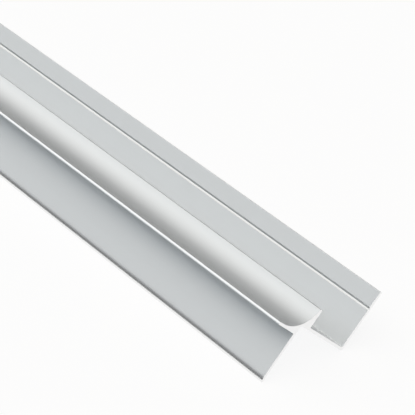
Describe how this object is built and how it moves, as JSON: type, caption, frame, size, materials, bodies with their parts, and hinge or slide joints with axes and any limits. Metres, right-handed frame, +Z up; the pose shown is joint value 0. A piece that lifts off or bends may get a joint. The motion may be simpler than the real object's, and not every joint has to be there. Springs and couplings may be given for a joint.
{
  "type": "aluminium extrusion profile",
  "caption": "Straight aluminium edge profile with a Z-shaped section: parallel flanges on a thin web, a slot for a board edge, and a concave finger cove with an upright lip.",
  "frame": {"origin": "on the floor, under the middle of the box that the lying stock fills", "axes": "+X along the stock, +Y across it from the front flange to the back flange, +Z up"},
  "size_m": [1, 0.0464, 0.0201],
  "materials": {
    "aluminium": "satin, clear anodised"
  },
  "bodies": {
    "root": {"profile": "aluminium"}
  },
  "joints": []
}
